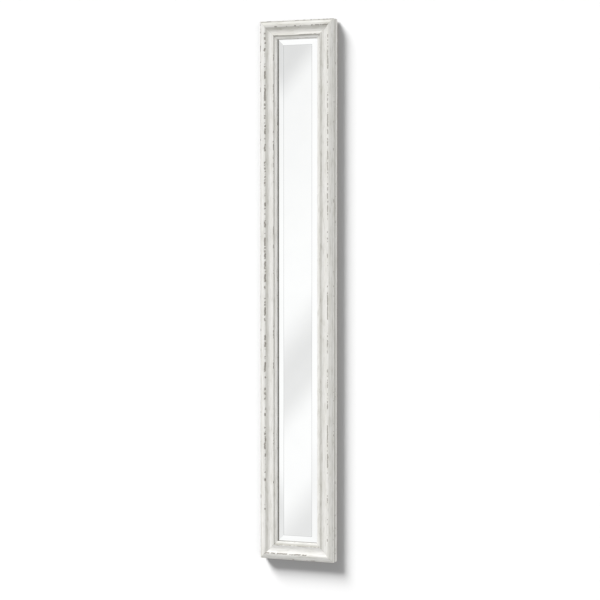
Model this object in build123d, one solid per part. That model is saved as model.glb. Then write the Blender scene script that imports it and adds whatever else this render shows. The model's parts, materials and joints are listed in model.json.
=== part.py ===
from build123d import *
import math
import os

# Narrow wall mirror with a painted wooden frame. X runs to the right, Z up, and the glass faces -Y.
# The origin is the middle of the glass's front face. Millimetres.

# Frame, seen from the front
FRAME_HEIGHT = 1700.0
FRAME_WIDTH = 247.0
FACE_WIDTH = 57.0

# Moulding section: "in" is measured from the outer edge, "height" from the flat back
SIDE_HEIGHT = 16.0
COVE_HEIGHT = 10.2
COVE_SINK = 2.3
FILLET_HEIGHT = 2.5
FILLET_SET = 0.3
FILLET_WIDTH = 2.0
QUIRK_SINK = 0.8
CREST_HEIGHT = 37.0
CREST_IN = 17.5
SHOULDER_RADIUS = 3.8
SHOULDER_ANGLE = 47.0
ARRIS_DROP = 3.1
ARRIS_WIDTH = 1.4
STEP_BATTER = 1.3
STEP_DROP = 5.9
STEP_WIDTH = 0.9
BEAD_WIDTH = 8.4
BEAD_RISE = 1.6
SIGHT_DROP = 11.6
SIGHT_WALL = 6.3
REBATE_WIDTH = 6.6

# Bevelled glass and the board behind it
GLASS_THICKNESS = 4.0
BEVEL_WIDTH = 25.4
BEVEL_DROP = 2.2
GLASS_PLAY = 0.6
GLASS_SEAT_GAP = 0.05
BOARD_THICKNESS = 3.0
BOARD_PLAY = 1.0

# Flat steel points that hold the board in the rebate
POINT_WIDTH = 8.0
POINT_THICKNESS = 0.5
POINT_HOLD = 8.0
POINT_BITE = 7.5
POINT_TIP = 4.0
POINT_SPACING = 150.0

# V-nails across the mitres
NAIL_LEG = 5.0
NAIL_THICKNESS = 0.5
NAIL_DEPTH = 10.0
NAIL_FIRST_IN = 14.0
NAIL_SECOND_IN = 33.0

# Ring hangers on the backs of the stiles
HANGER_DOWN = 200.0
HANGER_IN = 25.0
STRAP_WIDTH = 12.0
STRAP_SHEET = 1.0
STRAP_LENGTH = 40.0
FOLD_LENGTH = 5.2
RING_WIRE = 3.0
RING_PLAY = 0.08
RING_HALF_WIDTH = 11.0
RING_CORNER = 3.0
RING_LEG = 5.0
RING_REST_GAP = 0.3
BOW_STEPS = 18
CORNER_STEPS = 5

# Pan-head screws of the hangers
SCREW_FIRST_DOWN = 9.2
SCREW_PITCH = 23.8
SCREW_SHANK = 3.5
SCREW_LENGTH = 16.0
SCREW_TIP = 4.0
SCREW_HEAD = 7.0
SCREW_HEAD_HEIGHT = 2.3
SCREW_HOLE_PLAY = 0.3
PILOT_PLAY = 0.05
CROSS_LENGTH = 3.6
CROSS_WIDTH = 0.9
CROSS_DEPTH = 1.3

# Rubber bumpers at the lower corners
BUMPER_DIAMETER = 13.0
BUMPER_HEIGHT = 5.5
BUMPER_CHAMFER = 1.0
BUMPER_IN = 20.0
BUMPER_UP = 40.0

# Heights and places that follow from the sizes above
SIGHT_HEIGHT = CREST_HEIGHT - SIGHT_DROP
REBATE_HEIGHT = SIGHT_HEIGHT - SIGHT_WALL
REBATE_IN = FACE_WIDTH - REBATE_WIDTH
BEVEL_SLOPE = BEVEL_DROP / BEVEL_WIDTH
BEVEL_SHOWN = BEVEL_WIDTH - (REBATE_WIDTH - GLASS_PLAY)
BACK_Y = REBATE_HEIGHT + BEVEL_SHOWN * BEVEL_SLOPE - GLASS_SEAT_GAP
BOARD_BACK_Y = GLASS_THICKNESS + BOARD_THICKNESS
WALL_Y = BACK_Y + BUMPER_HEIGHT
HALF_WIDTH = FRAME_WIDTH / 2
HALF_HEIGHT = FRAME_HEIGHT / 2
WIRE_RADIUS = RING_WIRE / 2
BORE_RADIUS = WIRE_RADIUS + RING_PLAY
BARREL_RADIUS = BORE_RADIUS + STRAP_SHEET
STRAP_THICKNESS = 2 * STRAP_SHEET
RING_REACH = RING_LEG + RING_HALF_WIDTH
RING_LEAN = math.asin((BARREL_RADIUS - WIRE_RADIUS - RING_REST_GAP) / RING_REACH)
HANGER_X = HALF_WIDTH - HANGER_IN
HANGER_Z = HALF_HEIGHT - HANGER_DOWN


def moulding_section():
    # The frame's section, drawn with X inwards from the outer edge and Y forwards from the back
    cove_top = SIDE_HEIGHT + COVE_HEIGHT
    fillet_top = cove_top + FILLET_HEIGHT
    quirk = (FILLET_SET + FILLET_WIDTH, fillet_top - QUIRK_SINK)
    crest = (CREST_IN, CREST_HEIGHT)
    step_in = FACE_WIDTH - BEAD_WIDTH
    step_height = CREST_HEIGHT - ARRIS_DROP - STEP_DROP
    riser_foot = (step_in - STEP_WIDTH, step_height)
    arris_outer = (riser_foot[0] - STEP_BATTER - ARRIS_WIDTH, CREST_HEIGHT - ARRIS_DROP)
    arris_inner = (arris_outer[0] + ARRIS_WIDTH, arris_outer[1])
    sight = (FACE_WIDTH, SIGHT_HEIGHT)
    bead_middle = (FACE_WIDTH - BEAD_WIDTH / 2, (step_height + SIGHT_HEIGHT) / 2 + BEAD_RISE)
    side = Polyline((REBATE_IN, 0), (0, 0), (0, SIDE_HEIGHT))
    cove = ThreePointArc(
        (0, SIDE_HEIGHT),
        (COVE_SINK, SIDE_HEIGHT + COVE_HEIGHT / 2),
        (FILLET_SET, cove_top),
    )
    nosing = Polyline(
        (FILLET_SET, cove_top),
        (FILLET_SET, fillet_top),
        (quirk[0], fillet_top),
        quirk,
    )
    torus = TangentArc(crest, quirk, tangent=(-1, 0))
    shoulder = JernArc(crest, (1, 0), SHOULDER_RADIUS, -SHOULDER_ANGLE)
    scoop = TangentArc(shoulder @ 1, arris_outer, tangent=shoulder % 1)
    step = Polyline(arris_outer, arris_inner, riser_foot, (step_in, step_height))
    bead = ThreePointArc((step_in, step_height), bead_middle, sight)
    rebate = Polyline(
        sight,
        (FACE_WIDTH, REBATE_HEIGHT),
        (REBATE_IN, REBATE_HEIGHT),
        (REBATE_IN, 0),
    )
    return make_face([side, cove, nosing, torus, shoulder, scoop, step, bead, rebate])


def outline_face(points):
    # A flat face in the XZ plane
    return make_face(Plane.XZ * Polyline(*points, close=True))


def frame_side(inward, edge_centre, length, wedge):
    # One length of moulding, cut to its mitres by a wedge-shaped prism
    forward = Vector(0, -1, 0)
    along = Vector(*inward).cross(forward)
    plane = Plane(origin=edge_centre, x_dir=inward, z_dir=along)
    bar = extrude(plane * moulding_section(), length / 2, both=True)
    prism = extrude(outline_face(wedge), 2 * CREST_HEIGHT, both=True)
    return bar & prism


def frame_sides():
    # The four mitred sides before their nail and screw holes
    corner_z = HALF_HEIGHT - HALF_WIDTH
    bottom_left = (-HALF_WIDTH, -HALF_HEIGHT)
    bottom_right = (HALF_WIDTH, -HALF_HEIGHT)
    top_left = (-HALF_WIDTH, HALF_HEIGHT)
    top_right = (HALF_WIDTH, HALF_HEIGHT)
    upper = (0, corner_z)
    lower = (0, -corner_z)
    return {
        "top_rail": frame_side(
            (0, 0, -1), (0, BACK_Y, HALF_HEIGHT), FRAME_WIDTH, [top_left, top_right, upper]
        ),
        "bottom_rail": frame_side(
            (0, 0, 1), (0, BACK_Y, -HALF_HEIGHT), FRAME_WIDTH, [bottom_left, bottom_right, lower]
        ),
        "left_stile": frame_side(
            (1, 0, 0), (-HALF_WIDTH, BACK_Y, 0), FRAME_HEIGHT, [bottom_left, lower, upper, top_left]
        ),
        "right_stile": frame_side(
            (-1, 0, 0), (HALF_WIDTH, BACK_Y, 0), FRAME_HEIGHT, [bottom_right, lower, upper, top_right]
        ),
    }


def plate(width, height, front_y, thickness):
    # A flat rectangular sheet, its front face at front_y
    sheet = Box(width, thickness, height)
    return Pos(0, front_y + thickness / 2, 0) * sheet


def mirror_glass():
    # A sheet with a wide ground bevel on all four front edges
    width = FRAME_WIDTH - 2 * (REBATE_IN + GLASS_PLAY)
    height = FRAME_HEIGHT - 2 * (REBATE_IN + GLASS_PLAY)
    edge_y = BEVEL_DROP
    slab = plate(width, height, edge_y, GLASS_THICKNESS - BEVEL_DROP)
    foot = Plane.XZ.offset(-edge_y) * Rectangle(width, height)
    table = Plane.XZ * Rectangle(width - 2 * BEVEL_WIDTH, height - 2 * BEVEL_WIDTH)
    return slab + loft([foot, table], ruled=True)


def backing_board():
    width = FRAME_WIDTH - 2 * (REBATE_IN + BOARD_PLAY)
    height = FRAME_HEIGHT - 2 * (REBATE_IN + BOARD_PLAY)
    return plate(width, height, GLASS_THICKNESS, BOARD_THICKNESS)


def board_point():
    # One point lying on the board's back: its tip bites into the wood towards -X of the rebate wall
    half = POINT_WIDTH / 2
    blade = outline_face([
        (POINT_HOLD, -half),
        (POINT_HOLD, half),
        (POINT_TIP - POINT_BITE, half),
        (-POINT_BITE, 0),
        (POINT_TIP - POINT_BITE, -half),
    ])
    return Pos(0, BOARD_BACK_Y + POINT_THICKNESS, 0) * extrude(blade, POINT_THICKNESS)


def spread(length, spacing):
    # Evenly spaced places, centred on zero, with half a space left at each end
    count = max(1, round(length / spacing))
    return [(i + 0.5) * length / count - length / 2 for i in range(count)]


def board_points():
    # Points all round the rebate, listed by the side of the frame that they bite into
    wall_x = HALF_WIDTH - REBATE_IN
    wall_z = HALF_HEIGHT - REBATE_IN
    point = board_point()
    tall = spread(2 * wall_z, POINT_SPACING)
    wide = spread(2 * wall_x, POINT_SPACING)
    return {
        "left_stile": [Pos(-wall_x, 0, z) * point for z in tall],
        "right_stile": [Pos(wall_x, 0, z) * Rot(0, 180, 0) * point for z in tall],
        "top_rail": [Pos(x, 0, wall_z) * Rot(0, 90, 0) * point for x in wide],
        "bottom_rail": [Pos(x, 0, -wall_z) * Rot(0, -90, 0) * point for x in wide],
    }


def mitre_nail():
    # A thin V driven in from the back, apex outwards, drawn for the lower left corner
    chevron = outline_face([
        (0, 0),
        (NAIL_LEG, 0),
        (NAIL_LEG, NAIL_THICKNESS),
        (NAIL_THICKNESS, NAIL_THICKNESS),
        (NAIL_THICKNESS, NAIL_LEG),
        (0, NAIL_LEG),
    ])
    return Pos(0, BACK_Y, 0) * extrude(chevron, NAIL_DEPTH)


def mitre_nails():
    # Two nails in each mitre, flush with the frame's back
    nail = mitre_nail()
    places = []
    for inset in (NAIL_FIRST_IN, NAIL_SECOND_IN):
        x = HALF_WIDTH - inset
        z = HALF_HEIGHT - inset
        places.append(Pos(-x, 0, -z) * nail)
        places.append(Pos(-x, 0, z) * Rot(0, 90, 0) * nail)
        places.append(Pos(x, 0, z) * Rot(0, 180, 0) * nail)
        places.append(Pos(x, 0, -z) * Rot(0, -90, 0) * nail)
    return places


def strap_side():
    # Side view of the folded strap: X is the distance behind the frame's back, Y is up from the barrel
    foot = (STRAP_THICKNESS, -FOLD_LENGTH)
    across = foot[0] - BARREL_RADIUS
    away = math.atan2(foot[1], across)
    turn = away + math.acos(BARREL_RADIUS / math.hypot(across, foot[1]))
    normal = (math.cos(turn), math.sin(turn))
    leave = (BARREL_RADIUS + BARREL_RADIUS * normal[0], BARREL_RADIUS * normal[1])
    inner = (BARREL_RADIUS + BORE_RADIUS * normal[0], BORE_RADIUS * normal[1])
    run = (inner[0] - STRAP_SHEET) / -normal[1]
    nip = (STRAP_SHEET, inner[1] - run * normal[0])
    plies = make_face(Polyline(
        (0, 0), (0, -STRAP_LENGTH), (STRAP_THICKNESS, -STRAP_LENGTH), foot, leave, (BARREL_RADIUS, 0), close=True
    ))
    throat = make_face(Polyline((STRAP_SHEET, 0), nip, inner, (BARREL_RADIUS, 0), close=True))
    barrel = Pos(BARREL_RADIUS, 0) * Circle(BARREL_RADIUS)
    bore = Pos(BARREL_RADIUS, 0) * Circle(BORE_RADIUS)
    return plies + barrel - throat - bore


def screw_drops():
    # The two screws' distances below the barrel
    return [SCREW_FIRST_DOWN, SCREW_FIRST_DOWN + SCREW_PITCH]


def hanger_strap():
    # Steel strap folded round the ring, lying on the frame's back with its barrel at the origin
    plane = Plane(origin=(0, 0, 0), x_dir=(0, 1, 0), z_dir=(1, 0, 0))
    strip = extrude(plane * strap_side(), STRAP_WIDTH / 2, both=True)
    half = STRAP_WIDTH / 2
    end_z = half - STRAP_LENGTH
    tongue = Pos(0, end_z) * Circle(half)
    tongue += Pos(0, (end_z + 2 * BARREL_RADIUS) / 2) * Rectangle(STRAP_WIDTH, 2 * BARREL_RADIUS - end_z)
    strip &= extrude(Plane.XZ * tongue, -3 * BARREL_RADIUS)
    hole = SCREW_SHANK / 2 + SCREW_HOLE_PLAY
    for drop in screw_drops():
        strip -= Pos(0, STRAP_THICKNESS / 2, -drop) * Rot(90, 0, 0) * Cylinder(hole, 2 * STRAP_THICKNESS)
    return strip


def wire_sections(centre, radius, first, last, steps):
    # Wire cross-sections round one bend of the ring, angles in degrees from +X towards +Z
    sections = []
    for i in range(steps + 1):
        angle = math.radians(first + (last - first) * i / steps)
        radial = Vector(math.cos(angle), 0, math.sin(angle))
        along = Vector(-math.sin(angle), 0, math.cos(angle))
        origin = Vector(centre[0], 0, centre[1]) + radial * radius
        sections.append(Plane(origin=origin, x_dir=radial, z_dir=along) * Circle(WIRE_RADIUS))
    return sections


def hanger_ring():
    # D-shaped wire ring standing up from its bar, which lies on the X axis
    bar_end = RING_HALF_WIDTH - RING_CORNER
    corner = RING_CORNER
    sections = wire_sections((bar_end, corner), corner, -90, 0, CORNER_STEPS)
    sections += wire_sections((0, RING_LEG), RING_HALF_WIDTH, 0, 180, BOW_STEPS)
    sections += wire_sections((-bar_end, corner), corner, 180, 270, CORNER_STEPS)
    bar = Rot(0, 90, 0) * Cylinder(WIRE_RADIUS, 2 * bar_end)
    return bar + loft(sections, ruled=True)


def screw_profile(play):
    # Half the screw's lengthwise section: X is the radius, Y the distance out of the strap
    shank = SCREW_SHANK / 2 + play
    tip_top = SCREW_TIP - SCREW_LENGTH
    head = SCREW_HEAD / 2
    rim = SCREW_HEAD_HEIGHT / 3
    under = Polyline((0, -SCREW_LENGTH - play), (shank, tip_top), (shank, 0), (head, 0), (head, rim))
    dome = TangentArc((0, SCREW_HEAD_HEIGHT), (head, rim), tangent=(1, 0))
    core = Line((0, SCREW_HEAD_HEIGHT), (0, -SCREW_LENGTH - play))
    return make_face([under, dome, core])


def pan_screw(play=0.0):
    # A screw with its axis along Y, its head towards +Y and the head's seat at the origin
    body = revolve(Plane.XY * screw_profile(play), Axis.Y)
    if play:
        return body
    depth = 2 * CROSS_DEPTH
    for turn in (0, 90):
        arm = Box(CROSS_LENGTH, depth, CROSS_WIDTH)
        body -= Pos(0, SCREW_HEAD_HEIGHT, 0) * Rot(0, turn, 0) * arm
    return body


def hanger_frame(side):
    # Where a hanger's barrel origin lies: side is -1 on the left stile and 1 on the right
    return Pos(side * HANGER_X, BACK_Y, HANGER_Z)


def hanger_screws(side, play=0.0):
    screw = pan_screw(play)
    return [hanger_frame(side) * Pos(0, STRAP_THICKNESS, -drop) * screw for drop in screw_drops()]


def placed_ring(side):
    # The ring stands up and leans on the frame, as it does on a wall hook
    lean = Rot(math.degrees(RING_LEAN), 0, 0)
    return hanger_frame(side) * Pos(0, BARREL_RADIUS, 0) * lean * hanger_ring()


def bumper(side):
    pad = Cylinder(BUMPER_DIAMETER / 2, BUMPER_HEIGHT)
    pad = chamfer(pad.edges().group_by(Axis.Z)[-1], BUMPER_CHAMFER)
    x = side * (HALF_WIDTH - BUMPER_IN)
    return Pos(x, BACK_Y + BUMPER_HEIGHT / 2, BUMPER_UP - HALF_HEIGHT) * Rot(-90, 0, 0) * pad


def drilled_sides(points, nails):
    # The frame sides with a slot for every point and nail and a pilot hole for every screw
    sides = frame_sides()
    for name in sides:
        for cutter in points[name] + nails:
            sides[name] -= cutter
    for hole in hanger_screws(-1, PILOT_PLAY):
        sides["left_stile"] -= hole
    for hole in hanger_screws(1, PILOT_PLAY):
        sides["right_stile"] -= hole
    return sides


def build_parts():
    points = board_points()
    nails = mitre_nails()
    parts = drilled_sides(points, nails)
    parts["mirror_glass"] = mirror_glass()
    parts["backing_board"] = backing_board()
    parts["board_points"] = Compound(children=[p for name in points for p in points[name]])
    parts["mitre_nails"] = Compound(children=nails)
    parts["hanger_screws"] = Compound(children=hanger_screws(-1) + hanger_screws(1))
    for name, side in (("left", -1), ("right", 1)):
        parts["hanger_strap_" + name] = hanger_frame(side) * hanger_strap()
        parts["hanger_ring_" + name] = placed_ring(side)
        parts["bumper_" + name] = bumper(side)
    return parts


def main():
    os.makedirs("parts", exist_ok=True)
    for name, shape in build_parts().items():
        export_step(shape, os.path.join("parts", name + ".step"))
    print("wall plane y", round(WALL_Y, 3), "frame back y", round(BACK_Y, 3))
    print("ring axis y", round(BACK_Y + BARREL_RADIUS, 3), "z", HANGER_Z, "x", HANGER_X)
    print("ring lean at rest", round(math.degrees(RING_LEAN), 2))


main()
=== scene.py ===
import json
import math

import bmesh
import bpy
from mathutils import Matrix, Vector, noise


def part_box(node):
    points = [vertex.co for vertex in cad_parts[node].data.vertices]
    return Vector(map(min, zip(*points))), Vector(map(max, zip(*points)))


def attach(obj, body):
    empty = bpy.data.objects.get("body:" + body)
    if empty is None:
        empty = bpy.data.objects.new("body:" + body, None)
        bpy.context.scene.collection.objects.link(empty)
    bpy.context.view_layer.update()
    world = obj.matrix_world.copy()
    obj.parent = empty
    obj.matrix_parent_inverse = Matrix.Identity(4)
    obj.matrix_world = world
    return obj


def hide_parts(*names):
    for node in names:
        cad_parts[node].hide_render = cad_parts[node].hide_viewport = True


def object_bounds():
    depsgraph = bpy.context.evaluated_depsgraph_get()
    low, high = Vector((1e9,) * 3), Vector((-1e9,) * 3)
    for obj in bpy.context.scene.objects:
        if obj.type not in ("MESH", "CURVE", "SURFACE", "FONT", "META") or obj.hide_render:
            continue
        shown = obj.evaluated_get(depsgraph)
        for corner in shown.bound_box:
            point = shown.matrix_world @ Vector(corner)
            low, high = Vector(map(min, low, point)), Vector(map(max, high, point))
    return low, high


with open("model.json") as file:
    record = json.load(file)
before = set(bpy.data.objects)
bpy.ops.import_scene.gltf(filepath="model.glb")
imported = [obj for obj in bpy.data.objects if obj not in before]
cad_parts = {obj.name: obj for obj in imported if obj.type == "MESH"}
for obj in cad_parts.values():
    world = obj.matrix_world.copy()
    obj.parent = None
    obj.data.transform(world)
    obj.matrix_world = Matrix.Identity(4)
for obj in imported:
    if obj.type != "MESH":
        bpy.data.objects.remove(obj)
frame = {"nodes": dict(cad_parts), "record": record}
cad_low, cad_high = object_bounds()

MM = 0.001

# Frame, seen from the front, millimetres
FRAME_HEIGHT = 1700.0
FRAME_WIDTH = 247.0
FACE_WIDTH = 57.0

# Moulding section: "in" from the outer edge, "height" from the flat back
SIDE_HEIGHT = 16.0
COVE_HEIGHT = 10.2
COVE_SINK = 2.3
FILLET_HEIGHT = 2.5
FILLET_SET = 0.3
FILLET_WIDTH = 2.0
QUIRK_SINK = 0.8
CREST_HEIGHT = 37.0
CREST_IN = 17.5
SHOULDER_RADIUS = 3.8
SHOULDER_ANGLE = 47.0
ARRIS_DROP = 3.1
ARRIS_WIDTH = 1.4
STEP_BATTER = 1.3
STEP_DROP = 5.9
STEP_WIDTH = 0.9
BEAD_WIDTH = 8.4
BEAD_RISE = 1.6
SIGHT_DROP = 11.6
SIGHT_WALL = 6.3
REBATE_WIDTH = 6.6

SIGHT_HEIGHT = CREST_HEIGHT - SIGHT_DROP
REBATE_HEIGHT = SIGHT_HEIGHT - SIGHT_WALL
REBATE_IN = FACE_WIDTH - REBATE_WIDTH
STEP_IN = FACE_WIDTH - BEAD_WIDTH
BACK_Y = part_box("left_stile")[1].y / MM

# Mesh of the moulding: how far its corners are eased, the turn that makes a corner, the longest
# edge of the section, rows along a side, the angle between faces that stays a crisp edge
EDGE_SOFTNESS = 0.35
SHARP_TURN = 20.0
LONGEST_EDGE = 4.0
ROW_PITCH = 3.0
MITRE_ROWS = (0.0, 0.4, 1.2, 2.6)
CRISP_ANGLE = 32.0

# Paint: how far it wraps round the back edge, depth of a chip and of the brush ripple
OVERSPRAY = 1.2
CHIP_DEPTH = 0.30
RIPPLE_DEPTH = 0.05

# Arrises that lose their paint first: how far in and how high each lies, half width of the worn
# strip, usual length of a worn patch
RUB_LINES = {
    "crest": (19.0, 36.7, 2.0, 46.0),
    "arris": (46.4, 33.7, 1.0, 38.0),
    "fillet": (1.3, 28.7, 1.1, 60.0),
    "lip": (57.0, 25.4, 0.6, 60.0),
    "edge": (0.0, 16.0, 0.9, 80.0),
}

# Hollows that hold the antique glaze and painted shade: how far in each one's middle lies, half width
GLAZE_AND_SHADE_LINES = {
    "quirk": (2.6, 0.8),
    "back": (12.5, 4.0),
    "slope": (24.5, 5.0),
    "dish": (42.0, 2.6),
    "riser": (47.4, 0.9),
}
# Antique glaze and painted shade in the outer cove, and a darkening on the outer side
COVE_GLAZE_AND_SHADE = 0.75
SIDE_GLAZE = 0.25
MITRE_GLAZE = 0.8

# Each length of moulding: "rub" is how worn each arris is, "climb" how much more so towards the
# upper or right end, "spread" how wide the wear is; the glaze figures give how much antique glaze and
# painted shade each hollow holds, "film" how much painted shade lies all over up to the bead; the lip
# figure is how much painted shade darkens the lip's inner wall
SIDES = {
    "left_stile": {
        "upright": True, "sign": -1, "seed": 1.0,
        "climb": 0.16, "spread": 1.35, "film": 0.0, "lip_painted_shade": 1.0,
        "rub": {"crest": 0.12, "arris": -0.12, "fillet": -0.24, "lip": -0.36, "edge": -0.30},
        "glaze_and_shade": {"quirk": 0.30, "back": 0.0, "slope": 0.55, "dish": 0.15, "riser": 0.25},
    },
    "right_stile": {
        "upright": True, "sign": 1, "seed": 2.0,
        "climb": 0.02, "spread": 0.9, "film": 0.12, "lip_painted_shade": 0.5,
        "rub": {"crest": 0.15, "arris": -0.14, "fillet": -0.20, "lip": -0.36, "edge": -0.30},
        "glaze_and_shade": {"quirk": 0.15, "back": 0.28, "slope": 0.0, "dish": 0.50, "riser": 0.40},
    },
    "top_rail": {
        "upright": False, "sign": 1, "seed": 3.0,
        "climb": 0.06, "spread": 1.0, "film": 0.30, "lip_painted_shade": 0.0,
        "rub": {"crest": 0.12, "arris": 0.20, "fillet": 0.10, "lip": -0.36, "edge": -0.30},
        "glaze_and_shade": {"quirk": 0.90, "back": 0.22, "slope": 0.40, "dish": 0.15, "riser": 0.35},
    },
    "bottom_rail": {
        "upright": False, "sign": -1, "seed": 4.0,
        "climb": 0.02, "spread": 1.0, "film": 0.0, "lip_painted_shade": 0.80,
        "rub": {"crest": 0.18, "arris": 0.26, "fillet": -0.28, "lip": -0.30, "edge": -0.30},
        "glaze_and_shade": {"quirk": 0.60, "back": 0.25, "slope": 0.0, "dish": 0.0, "riser": 0.90},
    },
}

# Bevel of the glass: in from the lip to its inner line, width of the painted grey reflection along that
# line
BEVEL_IN = 19.4
BEVEL_REFLECTION_LINE = 0.8

# V-nails across the mitres; a level is the depth behind the flat back and how far the end is eased
NAIL_LEG = 5.0
NAIL_THICKNESS = 0.5
NAIL_BEND = 0.7
NAIL_INSETS = (14.0, 33.0)
NAIL_LEVELS = ((-10.0, 0.0), (0.04, 0.0), (0.12, 0.08))

# Colours
PAINT = (0.885, 0.877, 0.852)
PAINT_STREAK = (0.775, 0.766, 0.737)
PAINT_CLOUD = (0.74, 0.73, 0.68)
PAINT_THIN = (0.50, 0.48, 0.43)
# Antique glaze in the hollows, also laid there as painted shade
GLAZE_AND_SHADE = (0.44, 0.43, 0.375)
UNDERCOAT_DARK = (0.215, 0.200, 0.178)
UNDERCOAT_PALE = (0.41, 0.388, 0.350)
# Painted shade on the lip's inner wall
LIP_PAINTED_SHADE = (0.15, 0.143, 0.132)
PINE_PALE = (0.62, 0.46, 0.29)
PINE_DARK = (0.47, 0.31, 0.17)
SILVER = (0.955, 0.962, 0.958)
SILVER_HAZE = (0.940, 0.948, 0.945)
# Painted reflection: a grey line along the inner edge of the glass bevel
BEVEL_REFLECTION_GREY = (0.62, 0.63, 0.63)
BOARD_DARK = (0.215, 0.125, 0.066)
BOARD_PALE = (0.36, 0.225, 0.125)
BOARD_BLOTCH = (0.17, 0.098, 0.052)
ZINC_PALE = (0.70, 0.71, 0.72)
ZINC_DARK = (0.56, 0.57, 0.59)
ZINC_FILM = (0.62, 0.57, 0.44)
RUBBER_BLACK = (0.018, 0.018, 0.019)
RUBBER_BLOOM = (0.060, 0.060, 0.058)
WHITE = (1.0, 1.0, 1.0)

# Camera, metres and degrees; its lens and sensor in millimetres
VIEW_AZIMUTH = 20.0
VIEW_PITCH = 2.14
VIEW_DISTANCE = 5.222
VIEW_HEIGHT = 0.1683
VIEW_FAR = 100.0
VIEW_LENS = 99.18
SENSOR = 36.0

# Wall and floor behind and below the mirror, metres
WALL_GAP = 0.0002
FLOOR_DROP = 0.40
STAGE_SIZE = 24.0
BACKDROP_TINT = 0.25

# Lamps: where each stands, how bright a white surface that faces it becomes, how broad it is.
# The two backdrop lamps light the wall and floor alone.
KEY_SIDE = (-0.354, -0.523, 0.776)
KEY_LEVEL = 0.59
KEY_SPREAD = 40.0
BACKDROP_SIDE = (-0.52, -0.49, 0.80)
BACKDROP_LEVEL = 5.9
BACKDROP_SPREAD = 24.0
FILL_SIDE = (0.62, -0.78, -0.05)
FILL_LEVEL = 0.58
FILL_SPREAD = 36.0
REAR_SIDE = (0.15, 0.85, 0.50)
REAR_LEVEL = 0.25
REAR_SPREAD = 60.0

# Soft grey bands of the room that the glass shows: downward slope of the view, brightness.
# They lean sideways in a wave, and the middle band shows only near the centre of each wave.
ROOM_LOW, ROOM_HIGH = -0.30, 0.90
ROOM_BANDS = (
    (-0.190, 1.00),
    (-0.150, 0.74),
    (-0.122, 0.75),
    (-0.096, 0.95),
    (0.036, 1.00),
    (0.078, 0.80),
    (0.092, 0.82),
    (0.122, 1.00),
    (0.155, 1.00),
    (0.192, 0.80),
    (0.260, 1.00),
    (0.600, 0.93),
)
MIDDLE_BAND = 0.06
MIDDLE_REACH = (0.075, 0.095)
BAND_TILT = 1.15
BAND_PITCH = 0.457
ROOM_AMBIENT = 0.68
ROOM_SHOWN = 1.04


def arc_about(centre, start, sweep, steps):
    """Points of an arc after its start."""
    radius = (start - centre).length
    first = math.atan2(start.y - centre.y, start.x - centre.x)
    angles = [first + sweep * i / steps for i in range(1, steps + 1)]
    return [centre + radius * Vector((math.cos(angle), math.sin(angle))) for angle in angles]


def arc_tangent(start, direction, end, steps):
    """Points of the arc that leaves start in a direction and reaches end."""
    direction = direction.normalized()
    chord = end - start
    normal = Vector((-direction.y, direction.x))
    radius = chord.length_squared / (2 * chord.dot(normal))
    centre = start + normal * radius
    turn = direction.angle_signed(chord)
    return arc_about(centre, start, -2 * turn, steps)


def arc_through(start, middle, end, steps):
    """Points of the arc from start through middle to end."""
    a, b = middle - start, end - start
    cross = 2 * (a.x * b.y - a.y * b.x)
    centre = start + Vector((
        (b.y * a.length_squared - a.y * b.length_squared) / cross,
        (a.x * b.length_squared - b.x * a.length_squared) / cross,
    ))
    sweep = -(start - centre).angle_signed(end - centre)
    return arc_about(centre, start, sweep, steps)


def softened(points, radius):
    """The open outline with every sharp corner cut by two short edges."""
    out = [points[0]]
    for before, here, after in zip(points, points[1:], points[2:]):
        inward, onward = here - before, after - here
        if abs(inward.angle_signed(onward)) < math.radians(SHARP_TURN):
            out.append(here)
            continue
        cut = min(radius, inward.length * 0.4, onward.length * 0.4)
        first = here - inward.normalized() * cut
        last = here + onward.normalized() * cut
        out += [first, here.lerp((first + last) / 2, 0.42), last]
    return out + [points[-1]]


def split_long(points, longest):
    """The same outline with no edge longer than a given length."""
    out = [points[0]]
    for a, b in zip(points, points[1:]):
        count = max(1, math.ceil((b - a).length / longest))
        out += [a.lerp(b, (i + 1) / count) for i in range(count)]
    return out


def outer_flank():
    """Side, cove, fillet and torus, from the flat back up to the crest."""
    cove_top = SIDE_HEIGHT + COVE_HEIGHT
    fillet_top = cove_top + FILLET_HEIGHT
    side_top = Vector((0, SIDE_HEIGHT))
    cove_middle = Vector((COVE_SINK, SIDE_HEIGHT + COVE_HEIGHT / 2))
    fillet_foot = Vector((FILLET_SET, cove_top))
    quirk = Vector((FILLET_SET + FILLET_WIDTH, fillet_top - QUIRK_SINK))
    crest = Vector((CREST_IN, CREST_HEIGHT))
    points = [Vector((0, 0)), Vector((0, OVERSPRAY)), side_top]
    points += arc_through(side_top, cove_middle, fillet_foot, 8)
    points += [Vector((FILLET_SET, fillet_top)), Vector((quirk.x, fillet_top)), quirk]
    torus = arc_tangent(crest, Vector((-1, 0)), quirk, 18)
    return points + torus[-2::-1] + [crest]


def inner_slope():
    """Shoulder, scoop, arris, step and bead, from the crest to the lip."""
    arris_height = CREST_HEIGHT - ARRIS_DROP
    step_height = arris_height - STEP_DROP
    riser_in = STEP_IN - STEP_WIDTH
    arris_in = riser_in - STEP_BATTER
    arris_out = Vector((arris_in - ARRIS_WIDTH, arris_height))
    crest = Vector((CREST_IN, CREST_HEIGHT))
    sight = Vector((FACE_WIDTH, SIGHT_HEIGHT))
    bead_foot = Vector((STEP_IN, step_height))
    bead_height = (step_height + SIGHT_HEIGHT) / 2 + BEAD_RISE
    bead_middle = Vector((FACE_WIDTH - BEAD_WIDTH / 2, bead_height))
    away = math.radians(-SHOULDER_ANGLE)
    points = arc_about(crest - Vector((0, SHOULDER_RADIUS)), crest, away, 5)
    points += arc_tangent(points[-1], Vector((math.cos(away), math.sin(away))), arris_out, 16)
    points += [Vector((arris_in, arris_height)), Vector((riser_in, step_height)), bead_foot]
    return points + arc_through(bead_foot, bead_middle, sight, 8)


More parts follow.
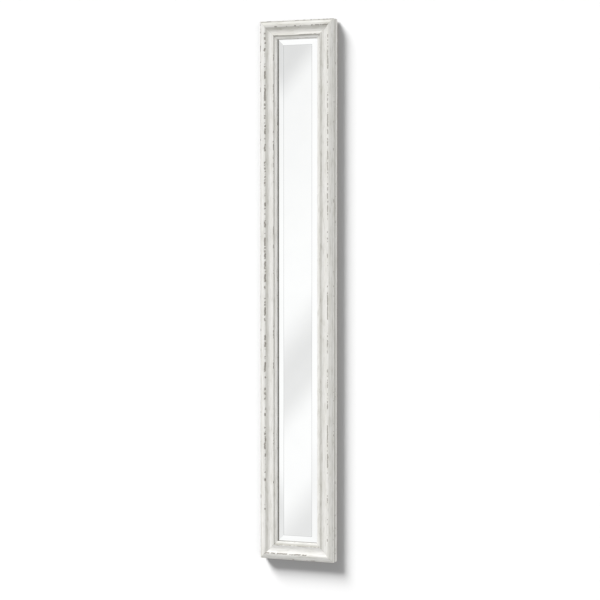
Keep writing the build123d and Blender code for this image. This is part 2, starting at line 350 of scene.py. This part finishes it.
def moulding_outline():
    """The section as a loop of (in, height) points, starting at the rebate's back corner."""
    start = Vector((REBATE_IN, 0))
    lip_back = Vector((FACE_WIDTH, REBATE_HEIGHT))
    rebate_corner = Vector((REBATE_IN, REBATE_HEIGHT))
    points = [start] + outer_flank() + inner_slope() + [lip_back, rebate_corner, start.copy()]
    return split_long(softened(points, EDGE_SOFTNESS), LONGEST_EDGE)[:-1]


def outline_girth(outline):
    """Distance along the outline at each of its points."""
    girth = [0.0]
    for a, b in zip(outline, outline[1:]):
        girth.append(girth[-1] + (b - a).length)
    return girth


def outline_normals(outline):
    """Outward normal of the closed outline at each of its points."""
    normals = []
    for i in range(len(outline)):
        edge = outline[(i + 1) % len(outline)] - outline[i - 1]
        normals.append(Vector((-edge.y, edge.x)).normalized())
    return normals


def bump_curve(x, centre, width):
    """A bell curve, 1 at its centre and fading to 0 about two widths away."""
    return math.exp(-(((x - centre) / width) ** 2))


def smooth(low, high, x):
    """A soft step from 0 at low to 1 at high."""
    t = min(1.0, max(0.0, (x - low) / (high - low)))
    return t * t * (3 - 2 * t)


def rubbed(along, seed, patch, cover):
    """How far the paint along an arris is rubbed away, from 0 to 1."""
    broad = noise.noise(Vector((along / patch, seed, 0.3)))
    middle = noise.noise(Vector((along * 3.7 / patch, seed + 7.1, 1.7)))
    fine = noise.noise(Vector((along / 5.0, seed + 3.7, 2.9)))
    return smooth(0.05, 0.32, broad * 0.55 + middle * 0.6 + fine * 0.55 + cover)


def wear_at(point, along, side, reach):
    """How far the paint at a point of the section is rubbed away, from 0 to 1."""
    worn = 0.0
    seed = side["seed"]
    for i, (arris, (place, height, half, patch)) in enumerate(RUB_LINES.items()):
        half *= side["spread"]
        wander = 0.7 * noise.noise(Vector((along / 6.5, seed + i, 5.0)))
        wander += 0.9 * noise.noise(Vector((along / 24.0, seed + i, 8.0)))
        away = math.hypot(point.x - place - wander * half, (point.y - height) * 0.7)
        near = 1 - smooth(0.45, 1.35, away / half)
        if near > 0:
            cover = side["rub"][arris] + side["climb"] * along / reach
            worn = max(worn, near * rubbed(along, seed * 3.1 + i * 11.3, patch, cover))
    return worn


def glaze_and_shade_at(point, side):
    """How much antique glaze and painted shade lie at a point of the section, from 0 to 1."""
    if point.x < COVE_SINK + 0.1 and SIDE_HEIGHT < point.y < SIDE_HEIGHT + COVE_HEIGHT:
        return COVE_GLAZE_AND_SHADE
    if point.y < SIDE_HEIGHT:
        return SIDE_GLAZE
    held = (side["glaze_and_shade"][name] * bump_curve(point.x, *line) for name, line in GLAZE_AND_SHADE_LINES.items())
    # Painted shade laid all over the face up to the bead, on the top rail and right stile
    film = side["film"] * (point.x < STEP_IN)
    return min(1.0, film + sum(held))


def bare_at(point):
    """1 where the wood was never painted: in the rebate and on the flat back."""
    in_rebate = point.x > REBATE_IN - 0.1 and point.y < REBATE_HEIGHT + 0.3
    on_back = point.y < OVERSPRAY / 2 and point.x > OVERSPRAY / 2
    return 1.0 if in_rebate or on_back else 0.0


def painted_lip_shade_at(point, side):
    """How much painted shade darkens the lip's inner wall."""
    on_lip = point.x > FACE_WIDTH - 0.5
    return side["lip_painted_shade"] * smooth(0.4, 1.4, SIGHT_HEIGHT - point.y) * on_lip


def side_stations(length):
    """Places along a side as shares of its length, close together at the two mitres."""
    inner = length - 2 * MITRE_ROWS[-1]
    count = round(inner / ROW_PITCH)
    middle = [MITRE_ROWS[-1] + inner * i / count for i in range(count + 1)]
    ends = MITRE_ROWS[:-1]
    places = [*ends, *middle, *(length - end for end in reversed(ends))]
    return [place / length for place in places]


def loft_faces(rows, count):
    """Quads between rows of points that each make a loop, and a cap at both ends."""
    faces = []
    for row in range(rows - 1):
        here, there = row * count, (row + 1) * count
        for i in range(count):
            j = (i + 1) % count
            faces.append((here + i, here + j, there + j, there + i))
    last = (rows - 1) * count
    return faces + [tuple(range(count)), tuple(reversed(range(last, last + count)))]


def moulding_side(name, side):
    """One mitred length of moulding with its worn arrises cut into the mesh."""
    upright, seed = side["upright"], side["seed"]
    half_length, half_across = FRAME_HEIGHT / 2, FRAME_WIDTH / 2
    if not upright:
        half_length, half_across = half_across, half_length
    outline = moulding_outline()
    section = list(zip(outline, outline_normals(outline), outline_girth(outline)))
    stations = side_stations(2 * half_length)
    verts, flow = [], []
    marks = {"wear": [], "glaze_and_shade": [], "bare": [], "sight_painted_shade": []}
    for share in stations:
        for here, normal, around in section:
            reach = half_length - here.x
            along = (2 * share - 1) * reach
            worn = wear_at(here, along, side, reach)
            ripple = RIPPLE_DEPTH * noise.noise(Vector((along / 14.0, around / 5.0, seed)))
            sunk = (CHIP_DEPTH * worn + max(0.0, ripple)) * (here.y > 1.0)
            point = here - normal * sunk
            across = side["sign"] * (half_across - point.x)
            x, z = (across, along) if upright else (along, across)
            verts.append((x * MM, (BACK_Y - point.y) * MM, z * MM))
            flow += [around * MM, along * MM, seed]
            mitre = MITRE_GLAZE * bump_curve(reach - abs(along), 0.0, 0.5)
            marks["wear"].append(worn)
            marks["glaze_and_shade"].append(min(1.0, glaze_and_shade_at(here, side) + mitre))
            marks["bare"].append(bare_at(here))
            marks["sight_painted_shade"].append(painted_lip_shade_at(here, side))
    mesh = bpy.data.meshes.new(name)
    mesh.from_pydata(verts, [], loft_faces(len(stations), len(outline)))
    for key, values in marks.items():
        mesh.attributes.new(key, "FLOAT", "POINT").data.foreach_set("value", values)
    mesh.attributes.new("flow", "FLOAT_VECTOR", "POINT").data.foreach_set("vector", flow)
    return finished_mesh(name, mesh)


def finished_mesh(name, mesh):
    """An object of the mesh with outward faces, smooth but for its crisp edges."""
    work = bmesh.new()
    work.from_mesh(mesh)
    bmesh.ops.recalc_face_normals(work, faces=work.faces)
    work.to_mesh(mesh)
    work.free()
    mesh.shade_smooth()
    mesh.set_sharp_from_angle(angle=math.radians(CRISP_ANGLE))
    piece = bpy.data.objects.new(name, mesh)
    bpy.context.scene.collection.objects.link(piece)
    return piece


def add_nail(work, inset, side_x, side_z):
    """One V-nail across the mitre of one corner, its outer end eased and a little proud."""
    leg, t, bend = NAIL_LEG, NAIL_THICKNESS, NAIL_BEND
    corners = ((0, 0), (leg, 0), (leg, t), (bend, t), (t, bend), (t, leg), (0, leg))
    chevron = [Vector(corner) for corner in corners]
    middle = sum(chevron, Vector((0, 0))) / len(chevron)
    rings = []
    for depth, shrink in NAIL_LEVELS:
        ring = []
        for corner in chevron:
            eased = corner - (corner - middle).normalized() * shrink
            x = side_x * (FRAME_WIDTH / 2 - inset - eased.x)
            z = side_z * (FRAME_HEIGHT / 2 - inset - eased.y)
            ring.append(work.verts.new((x * MM, (BACK_Y + depth) * MM, z * MM)))
        rings.append(ring)
    for low_ring, high_ring in zip(rings, rings[1:]):
        for i in range(len(chevron)):
            j = (i + 1) % len(chevron)
            work.faces.new((low_ring[i], low_ring[j], high_ring[j], high_ring[i]))
    work.faces.new(rings[0])
    work.faces.new(rings[-1])


def mitre_nail_set(name):
    """The eight V-nails as one piece."""
    work = bmesh.new()
    for inset in NAIL_INSETS:
        for side_x in (-1, 1):
            for side_z in (-1, 1):
                add_nail(work, inset, side_x, side_z)
    mesh = bpy.data.meshes.new(name)
    work.to_mesh(mesh)
    work.free()
    return finished_mesh(name, mesh)


class Nodes:
    """Short calls for building a node tree."""

    def __init__(self, tree):
        self.tree = tree
        tree.nodes.clear()

    def add(self, kind, **settings):
        node = self.tree.nodes.new(kind)
        for key, value in settings.items():
            setattr(node, key, value)
        return node

    def feed(self, socket, value):
        if hasattr(value, "is_output"):
            self.tree.links.new(value, socket)
        else:
            socket.default_value = value

    def math(self, operation, a, b=None):
        node = self.add("ShaderNodeMath", operation=operation)
        for socket, value in zip(node.inputs, (a, b)):
            if value is not None:
                self.feed(socket, value)
        return node.outputs[0]

    def remap(self, value, low, high, to_low=0.0, to_high=1.0, kind="SMOOTHSTEP"):
        node = self.add("ShaderNodeMapRange", interpolation_type=kind, clamp=True)
        self.feed(node.inputs["Value"], value)
        node.inputs["From Min"].default_value = low
        node.inputs["From Max"].default_value = high
        node.inputs["To Min"].default_value = to_low
        node.inputs["To Max"].default_value = to_high
        return node.outputs["Result"]

    def mix(self, factor, a, b):
        node = self.add("ShaderNodeMix", data_type="RGBA", clamp_factor=True)
        self.feed(node.inputs["Factor"], factor)
        for key, colour in (("A", a), ("B", b)):
            socket = next(s for s in node.inputs if s.name == key and s.type == "RGBA")
            self.feed(socket, colour if hasattr(colour, "is_output") else (*colour, 1.0))
        return next(s for s in node.outputs if s.type == "RGBA")

    def noise(self, vector, scale, detail=3.0, roughness=0.55, distortion=0.0):
        node = self.add("ShaderNodeTexNoise")
        self.feed(node.inputs["Vector"], vector)
        node.inputs["Scale"].default_value = scale
        node.inputs["Detail"].default_value = detail
        node.inputs["Roughness"].default_value = roughness
        node.inputs["Distortion"].default_value = distortion
        return node.outputs["Fac"]

    def grain(self, vector, scale, detail, roughness):
        """Noise stretched by a scale for each axis, in features per metre."""
        node = self.add("ShaderNodeMapping")
        self.feed(node.inputs["Vector"], vector)
        node.inputs["Scale"].default_value = scale
        return self.noise(node.outputs["Vector"], 1.0, detail, roughness)

    def attribute(self, name, output="Fac"):
        return self.add("ShaderNodeAttribute", attribute_name=name).outputs[output]

    def object_place(self):
        return self.add("ShaderNodeTexCoord").outputs["Object"]

    def bump(self, height, strength, distance):
        node = self.add("ShaderNodeBump")
        self.feed(node.inputs["Height"], height)
        node.inputs["Strength"].default_value = strength
        node.inputs["Distance"].default_value = distance
        return node.outputs["Normal"]


def surface(name, build, **fixed):
    """A material with a Principled surface: build links it, fixed sets its plain values."""
    material = bpy.data.materials.new(name)
    material.use_nodes = True
    nodes = Nodes(material.node_tree)
    shader = nodes.add("ShaderNodeBsdfPrincipled")
    for key, value in fixed.items():
        shader.inputs[key.replace("_", " ")].default_value = value
    build(nodes, shader)
    out = nodes.add("ShaderNodeOutputMaterial")
    nodes.feed(out.inputs["Surface"], shader.outputs["BSDF"])
    return material


def painted_wood(nodes, shader):
    """Streaky white paint, antique glaze and painted shade in the hollows, painted shade on the lip's
    inner wall, chipped to its undercoat, bare pine behind.
    """
    flow = nodes.attribute("flow", "Vector")
    streak = nodes.grain(flow, (420.0, 9.0, 3.0), 4.0, 0.6)
    cloud = nodes.grain(flow, (60.0, 14.0, 3.0), 3.0, 0.5)
    grit = nodes.grain(flow, (900.0, 260.0, 3.0), 3.0, 0.65)
    wash = nodes.grain(flow, (170.0, 26.0, 3.0), 4.0, 0.65)
    fibre = nodes.grain(flow, (700.0, 16.0, 5.0), 5.0, 0.7)

    paint = nodes.mix(nodes.remap(streak, 0.35, 0.68), PAINT, PAINT_STREAK)
    paint = nodes.mix(nodes.remap(cloud, 0.40, 0.72, 0.0, 0.55), paint, PAINT_CLOUD)
    # Antique glaze and painted shade in the hollows, with a random wash
    held = nodes.remap(streak, 0.25, 0.70, 0.45, 1.0)
    glaze_and_shade_mix = nodes.math("MULTIPLY", nodes.attribute("glaze_and_shade"), held)
    glaze_and_shade_mix = nodes.math("ADD", glaze_and_shade_mix, nodes.remap(wash, 0.46, 0.74, 0.0, 0.40))
    paint = nodes.mix(glaze_and_shade_mix, paint, GLAZE_AND_SHADE)

    ragged = nodes.remap(grit, 0.25, 0.75, -0.60, 0.36, kind="LINEAR")
    ragged = nodes.math("ADD", nodes.attribute("wear"), ragged)
    worn = nodes.remap(ragged, 0.30, 0.46)
    under = nodes.mix(nodes.remap(fibre, 0.35, 0.65), UNDERCOAT_DARK, UNDERCOAT_PALE)
    paint = nodes.mix(nodes.remap(ragged, 0.05, 0.38, 0.0, 0.45), paint, PAINT_THIN)
    paint = nodes.mix(worn, paint, under)

    # Painted shade on the lip's inner wall
    shaded = nodes.remap(cloud, 0.2, 0.8, 0.80, 1.0)
    shaded = nodes.math("MULTIPLY", nodes.attribute("sight_painted_shade"), shaded)
    paint = nodes.mix(shaded, paint, LIP_PAINTED_SHADE)
    pine = nodes.mix(nodes.remap(fibre, 0.30, 0.70), PINE_PALE, PINE_DARK)
    spray = nodes.math("ADD", nodes.attribute("bare"), nodes.remap(grit, 0.2, 0.8, -0.4, 0.3))
    spray = nodes.remap(spray, 0.35, 0.65)
    nodes.feed(shader.inputs["Base Color"], nodes.mix(spray, paint, pine))

    dull = nodes.math("MULTIPLY", nodes.math("MAXIMUM", worn, spray), 0.25)
    rough = nodes.math("ADD", nodes.remap(streak, 0.3, 0.7, 0.40, 0.52), dull)
    nodes.feed(shader.inputs["Roughness"], rough)
    height = nodes.math("SUBTRACT", nodes.math("MULTIPLY", streak, 0.5), worn)
    height = nodes.math("ADD", height, nodes.math("MULTIPLY", grit, 0.12))
    nodes.feed(shader.inputs["Normal"], nodes.bump(height, 0.55, 0.00018))


def silvered_glass(nodes, shader):
    """A faintly hazed mirror with a painted grey reflection line where the bevels begin."""
    place = nodes.object_place()
    parts = nodes.add("ShaderNodeSeparateXYZ")
    nodes.feed(parts.inputs[0], place)
    half_x = (FRAME_WIDTH / 2 - FACE_WIDTH - BEVEL_IN) * MM
    half_z = (FRAME_HEIGHT / 2 - FACE_WIDTH - BEVEL_IN) * MM
    from_x = nodes.math("SUBTRACT", nodes.math("ABSOLUTE", parts.outputs["X"]), half_x)
    from_z = nodes.math("SUBTRACT", nodes.math("ABSOLUTE", parts.outputs["Z"]), half_z)
    from_line = nodes.math("ABSOLUTE", nodes.math("MAXIMUM", from_x, from_z))
    # Painted reflection: a grey line where the bevels begin
    line = nodes.remap(from_line, BEVEL_REFLECTION_LINE * MM * 0.5, BEVEL_REFLECTION_LINE * MM, 1.0, 0.0)
    haze = nodes.noise(place, 9.0, 3.0, 0.6)
    clear = nodes.mix(nodes.remap(haze, 0.3, 0.7), SILVER, SILVER_HAZE)
    nodes.feed(shader.inputs["Base Color"], nodes.mix(line, clear, BEVEL_REFLECTION_GREY))
    smear = nodes.remap(nodes.grain(place, (30.0, 30.0, 7.0), 4.0, 0.6), 0.35, 0.75, 0.004, 0.03)
    rough = nodes.math("ADD", smear, nodes.math("MULTIPLY", line, 0.12))
    nodes.feed(shader.inputs["Roughness"], rough)


def hardboard(nodes, shader):
    """Brown pressed fibre with the print of the press's wire screen."""
    place = nodes.object_place()
    fibre = nodes.noise(place, 900.0, 4.0, 0.7)
    blotch = nodes.noise(place, 14.0, 3.0, 0.6)
    tone = nodes.mix(nodes.remap(fibre, 0.35, 0.68), BOARD_DARK, BOARD_PALE)
    tone = nodes.mix(nodes.remap(blotch, 0.45, 0.75, 0.0, 0.45), tone, BOARD_BLOTCH)
    nodes.feed(shader.inputs["Base Color"], tone)
    nodes.feed(shader.inputs["Roughness"], nodes.remap(fibre, 0.3, 0.7, 0.62, 0.80))
    screen = nodes.add("ShaderNodeTexVoronoi", feature="F1", distance="CHEBYCHEV")
    nodes.feed(screen.inputs["Vector"], place)
    screen.inputs["Scale"].default_value = 620.0
    screen.inputs["Randomness"].default_value = 0.35
    relief = nodes.math("ADD", screen.outputs["Distance"], nodes.math("MULTIPLY", fibre, 0.8))
    nodes.feed(shader.inputs["Normal"], nodes.bump(relief, 0.5, 0.00025))


def plated_steel(nodes, shader):
    """Zinc plate with spangle, a thin yellow film and fine scratches."""
    place = nodes.object_place()
    spangle = nodes.noise(place, 260.0, 3.0, 0.6)
    film = nodes.noise(place, 60.0, 3.0, 0.5, 0.4)
    tone = nodes.mix(nodes.remap(spangle, 0.35, 0.65), ZINC_PALE, ZINC_DARK)
    tone = nodes.mix(nodes.remap(film, 0.5, 0.75, 0.0, 0.4), tone, ZINC_FILM)
    nodes.feed(shader.inputs["Base Color"], tone)
    nodes.feed(shader.inputs["Roughness"], nodes.remap(spangle, 0.3, 0.7, 0.26, 0.42))
    scratch = nodes.grain(place, (900.0, 900.0, 90.0), 3.0, 0.6)
    nodes.feed(shader.inputs["Normal"], nodes.bump(scratch, 0.25, 0.00006))


def bumper_rubber(nodes, shader):
    """Black rubber with a grey bloom."""
    bloom = nodes.noise(nodes.object_place(), 320.0, 4.0, 0.6)
    tone = nodes.mix(nodes.remap(bloom, 0.45, 0.75), RUBBER_BLACK, RUBBER_BLOOM)
    nodes.feed(shader.inputs["Base Color"], tone)
    nodes.feed(shader.inputs["Roughness"], nodes.remap(bloom, 0.3, 0.7, 0.55, 0.78))
    nodes.feed(shader.inputs["Normal"], nodes.bump(bloom, 0.3, 0.00010))


def pale_stage(name, one_sided):
    """A pale matt surface; the one-sided kind can't be seen from behind."""
    material = bpy.data.materials.new(name)
    material.use_nodes = True
    nodes = Nodes(material.node_tree)
    matt = nodes.add("ShaderNodeBsdfDiffuse")
    matt.inputs["Color"].default_value = (BACKDROP_TINT, BACKDROP_TINT, BACKDROP_TINT, 1.0)
    out = nodes.add("ShaderNodeOutputMaterial")
    shown = matt.outputs["BSDF"]
    if one_sided:
        clear = nodes.add("ShaderNodeBsdfTransparent")
        side = nodes.add("ShaderNodeMixShader")
        nodes.feed(side.inputs[0], nodes.add("ShaderNodeNewGeometry").outputs["Backfacing"])
        nodes.feed(side.inputs[1], shown)
        nodes.feed(side.inputs[2], clear.outputs["BSDF"])
        shown = side.outputs[0]
    nodes.feed(out.inputs["Surface"], shown)
    return material


def stage_sheet(name, corners, material):
    """A sheet that the camera sees and the mirror's shadow falls on, but that lights nothing."""
    mesh = bpy.data.meshes.new(name)
    mesh.from_pydata(corners, [], [tuple(range(len(corners)))])
    mesh.materials.append(material)
    sheet = bpy.data.objects.new(name, mesh)
    bpy.context.scene.collection.objects.link(sheet)
    sheet.visible_diffuse = False
    sheet.visible_glossy = False
    sheet.visible_transmission = False
    sheet.visible_shadow = False
    return sheet


def soft_sun(name, towards, level, spread):
    """A broad soft lamp far away; level is how bright it makes a white surface that faces it."""
    data = bpy.data.lights.new(name, "SUN")
    data.energy = level * math.pi
    data.angle = math.radians(spread)
    lamp = bpy.data.objects.new(name, data)
    lamp.rotation_mode = "QUATERNION"
    lamp.rotation_quaternion = Vector(towards).to_track_quat("Z", "Y")
    bpy.context.scene.collection.objects.link(lamp)
    return lamp


def band_ramp(nodes, slope):
    """The grey of the room at each downward slope of the view."""
    ramp = nodes.add("ShaderNodeValToRGB")
    ramp.color_ramp.interpolation = "EASE"
    elements = ramp.color_ramp.elements
    for element in list(elements)[1:]:
        elements.remove(element)
    elements[0].position = 0.0
    elements[0].color = (*WHITE, 1.0)
    for at, level in ROOM_BANDS:
        element = elements.new((at - ROOM_LOW) / (ROOM_HIGH - ROOM_LOW))
        element.color = (level, level, level, 1.0)
    nodes.feed(ramp.inputs["Fac"], nodes.remap(slope, ROOM_LOW, ROOM_HIGH, kind="LINEAR"))
    return ramp.outputs["Color"]


def banded_room(nodes):
    """White with leaning grey bands; the middle band shows only straight behind the viewer."""
    parts = nodes.add("ShaderNodeSeparateXYZ")
    nodes.feed(parts.inputs[0], nodes.add("ShaderNodeTexCoord").outputs["Generated"])
    ahead = nodes.math("MAXIMUM", nodes.math("ABSOLUTE", parts.outputs["Y"]), 0.05)
    fall = nodes.math("DIVIDE", nodes.math("MULTIPLY", parts.outputs["Z"], -1.0), ahead)
    aside = nodes.math("DIVIDE", parts.outputs["X"], ahead)
    aside = nodes.math("ADD", aside, math.tan(math.radians(VIEW_AZIMUTH)))
    turn = nodes.math("MULTIPLY", aside, 2 * math.pi / BAND_PITCH)
    lean = BAND_TILT * BAND_PITCH / (2 * math.pi)
    slope = nodes.math("ADD", fall, nodes.math("MULTIPLY", nodes.math("SINE", turn), lean))
    from_middle = nodes.math("ABSOLUTE", nodes.math("SUBTRACT", slope, MIDDLE_BAND))
    ahead_only = nodes.remap(nodes.math("COSINE", turn), -0.6, 0.6)
    beside = nodes.remap(aside, 0.10, 0.18, 1.0, 0.3)
    outer_bands = nodes.math("MULTIPLY", nodes.remap(from_middle, *MIDDLE_REACH), beside)
    strength = nodes.math("MAXIMUM", ahead_only, outer_bands)
    return nodes.mix(strength, WHITE, band_ramp(nodes, slope))


def room_light():
    """Even light all round. The eye sees a white room, and the glass shows its grey bands."""
    world = bpy.data.worlds.new("room")
    world.use_nodes = True
    bpy.context.scene.world = world
    nodes = Nodes(world.node_tree)
    path = nodes.add("ShaderNodeLightPath")
    to_camera = path.outputs["Is Camera Ray"]
    first = nodes.math("LESS_THAN", path.outputs["Diffuse Depth"], 0.5)
    mirrored = nodes.math("MAXIMUM", path.outputs["Is Glossy Ray"], path.outputs["Is Transmission Ray"])
    to_eye = nodes.math("MAXIMUM", to_camera, nodes.math("MULTIPLY", mirrored, first))
    even = nodes.add("ShaderNodeBackground")
    even.inputs["Color"].default_value = (*WHITE, 1.0)
    even.inputs["Strength"].default_value = ROOM_AMBIENT
    shown = nodes.add("ShaderNodeBackground")
    nodes.feed(shown.inputs["Color"], nodes.mix(to_camera, banded_room(nodes), WHITE))
    shown.inputs["Strength"].default_value = ROOM_SHOWN
    both = nodes.add("ShaderNodeMixShader")
    nodes.feed(both.inputs[0], to_eye)
    nodes.feed(both.inputs[1], even.outputs[0])
    nodes.feed(both.inputs[2], shown.outputs[0])
    out = nodes.add("ShaderNodeOutputWorld")
    nodes.feed(out.inputs["Surface"], both.outputs[0])


def set_stage():
    """Wall, floor and light."""
    wall_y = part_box("bumper_left")[1].y + WALL_GAP
    floor_z = cad_low.z - FLOOR_DROP
    half = STAGE_SIZE / 2
    wall = [(x, wall_y, z) for x, z in ((-half, floor_z), (half, floor_z), (half, half), (-half, half))]
    floor = [(x, y, floor_z) for x, y in ((-half, -half), (half, -half), (half, half), (-half, half))]
    sheets = (
        stage_sheet("backdrop_wall", wall, pale_stage("backdrop_white", one_sided=True)),
        stage_sheet("floor", floor, pale_stage("floor_white", one_sided=False)),
    )
    stage_only = bpy.data.collections.new("stage_only")
    for sheet in sheets:
        stage_only.objects.link(sheet)
    soft_sun("key_light", KEY_SIDE, KEY_LEVEL, KEY_SPREAD)
    for lamp in (
        soft_sun("backdrop_light", BACKDROP_SIDE, BACKDROP_LEVEL, BACKDROP_SPREAD),
        soft_sun("backdrop_fill", FILL_SIDE, FILL_LEVEL, FILL_SPREAD),
    ):
        lamp.light_linking.receiver_collection = stage_only
    soft_sun("rear_light", REAR_SIDE, REAR_LEVEL, REAR_SPREAD)
    room_light()


def set_camera():
    """The photograph's view: from the front right, a little above the middle."""
    azimuth = math.radians(VIEW_AZIMUTH)
    data = bpy.data.cameras.new("camera")
    data.lens = VIEW_LENS
    data.sensor_width = SENSOR
    data.clip_end = VIEW_FAR
    camera = bpy.data.objects.new("camera", data)
    camera.location = (
        math.sin(azimuth) * VIEW_DISTANCE,
        BACK_Y * MM - math.cos(azimuth) * VIEW_DISTANCE,
        VIEW_HEIGHT,
    )
    camera.rotation_euler = (math.radians(90.0 - VIEW_PITCH), 0.0, azimuth)
    bpy.context.scene.collection.objects.link(camera)
    bpy.context.scene.camera = camera


def clad(piece, material):
    piece.data.materials.clear()
    piece.data.materials.append(material)


def build_mirror():
    """Every node in its material, with finer meshes in place of the moulding and the V-nails."""
    looks = {
        "painted_wood": (painted_wood, {"Metallic": 0.0, "Specular_IOR_Level": 0.35}),
        "silvered_glass": (silvered_glass, {"Metallic": 1.0}),
        "hardboard": (hardboard, {"Metallic": 0.0, "Specular_IOR_Level": 0.3}),
        "plated_steel": (plated_steel, {"Metallic": 1.0}),
        "bumper_rubber": (bumper_rubber, {"Metallic": 0.0, "Specular_IOR_Level": 0.35}),
    }
    finishes = {slot: surface(slot + "_finish", build, **fixed) for slot, (build, fixed) in looks.items()}
    slots = {part["node"]: part["material_slot"] for part in frame["record"]["subparts"]}
    for name, node in frame["nodes"].items():
        clad(node, finishes[slots[name]])
    for node, side in SIDES.items():
        piece = moulding_side(node + "_moulding", side)
        clad(piece, finishes["painted_wood"])
        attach(piece, "frame")
        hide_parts(node)
    nails = mitre_nail_set("mitre_nail_set")
    clad(nails, finishes["plated_steel"])
    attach(nails, "frame")
    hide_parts("mitre_nails")


bpy.context.scene.view_settings.view_transform = "Standard"
set_stage()
set_camera()
build_mirror()
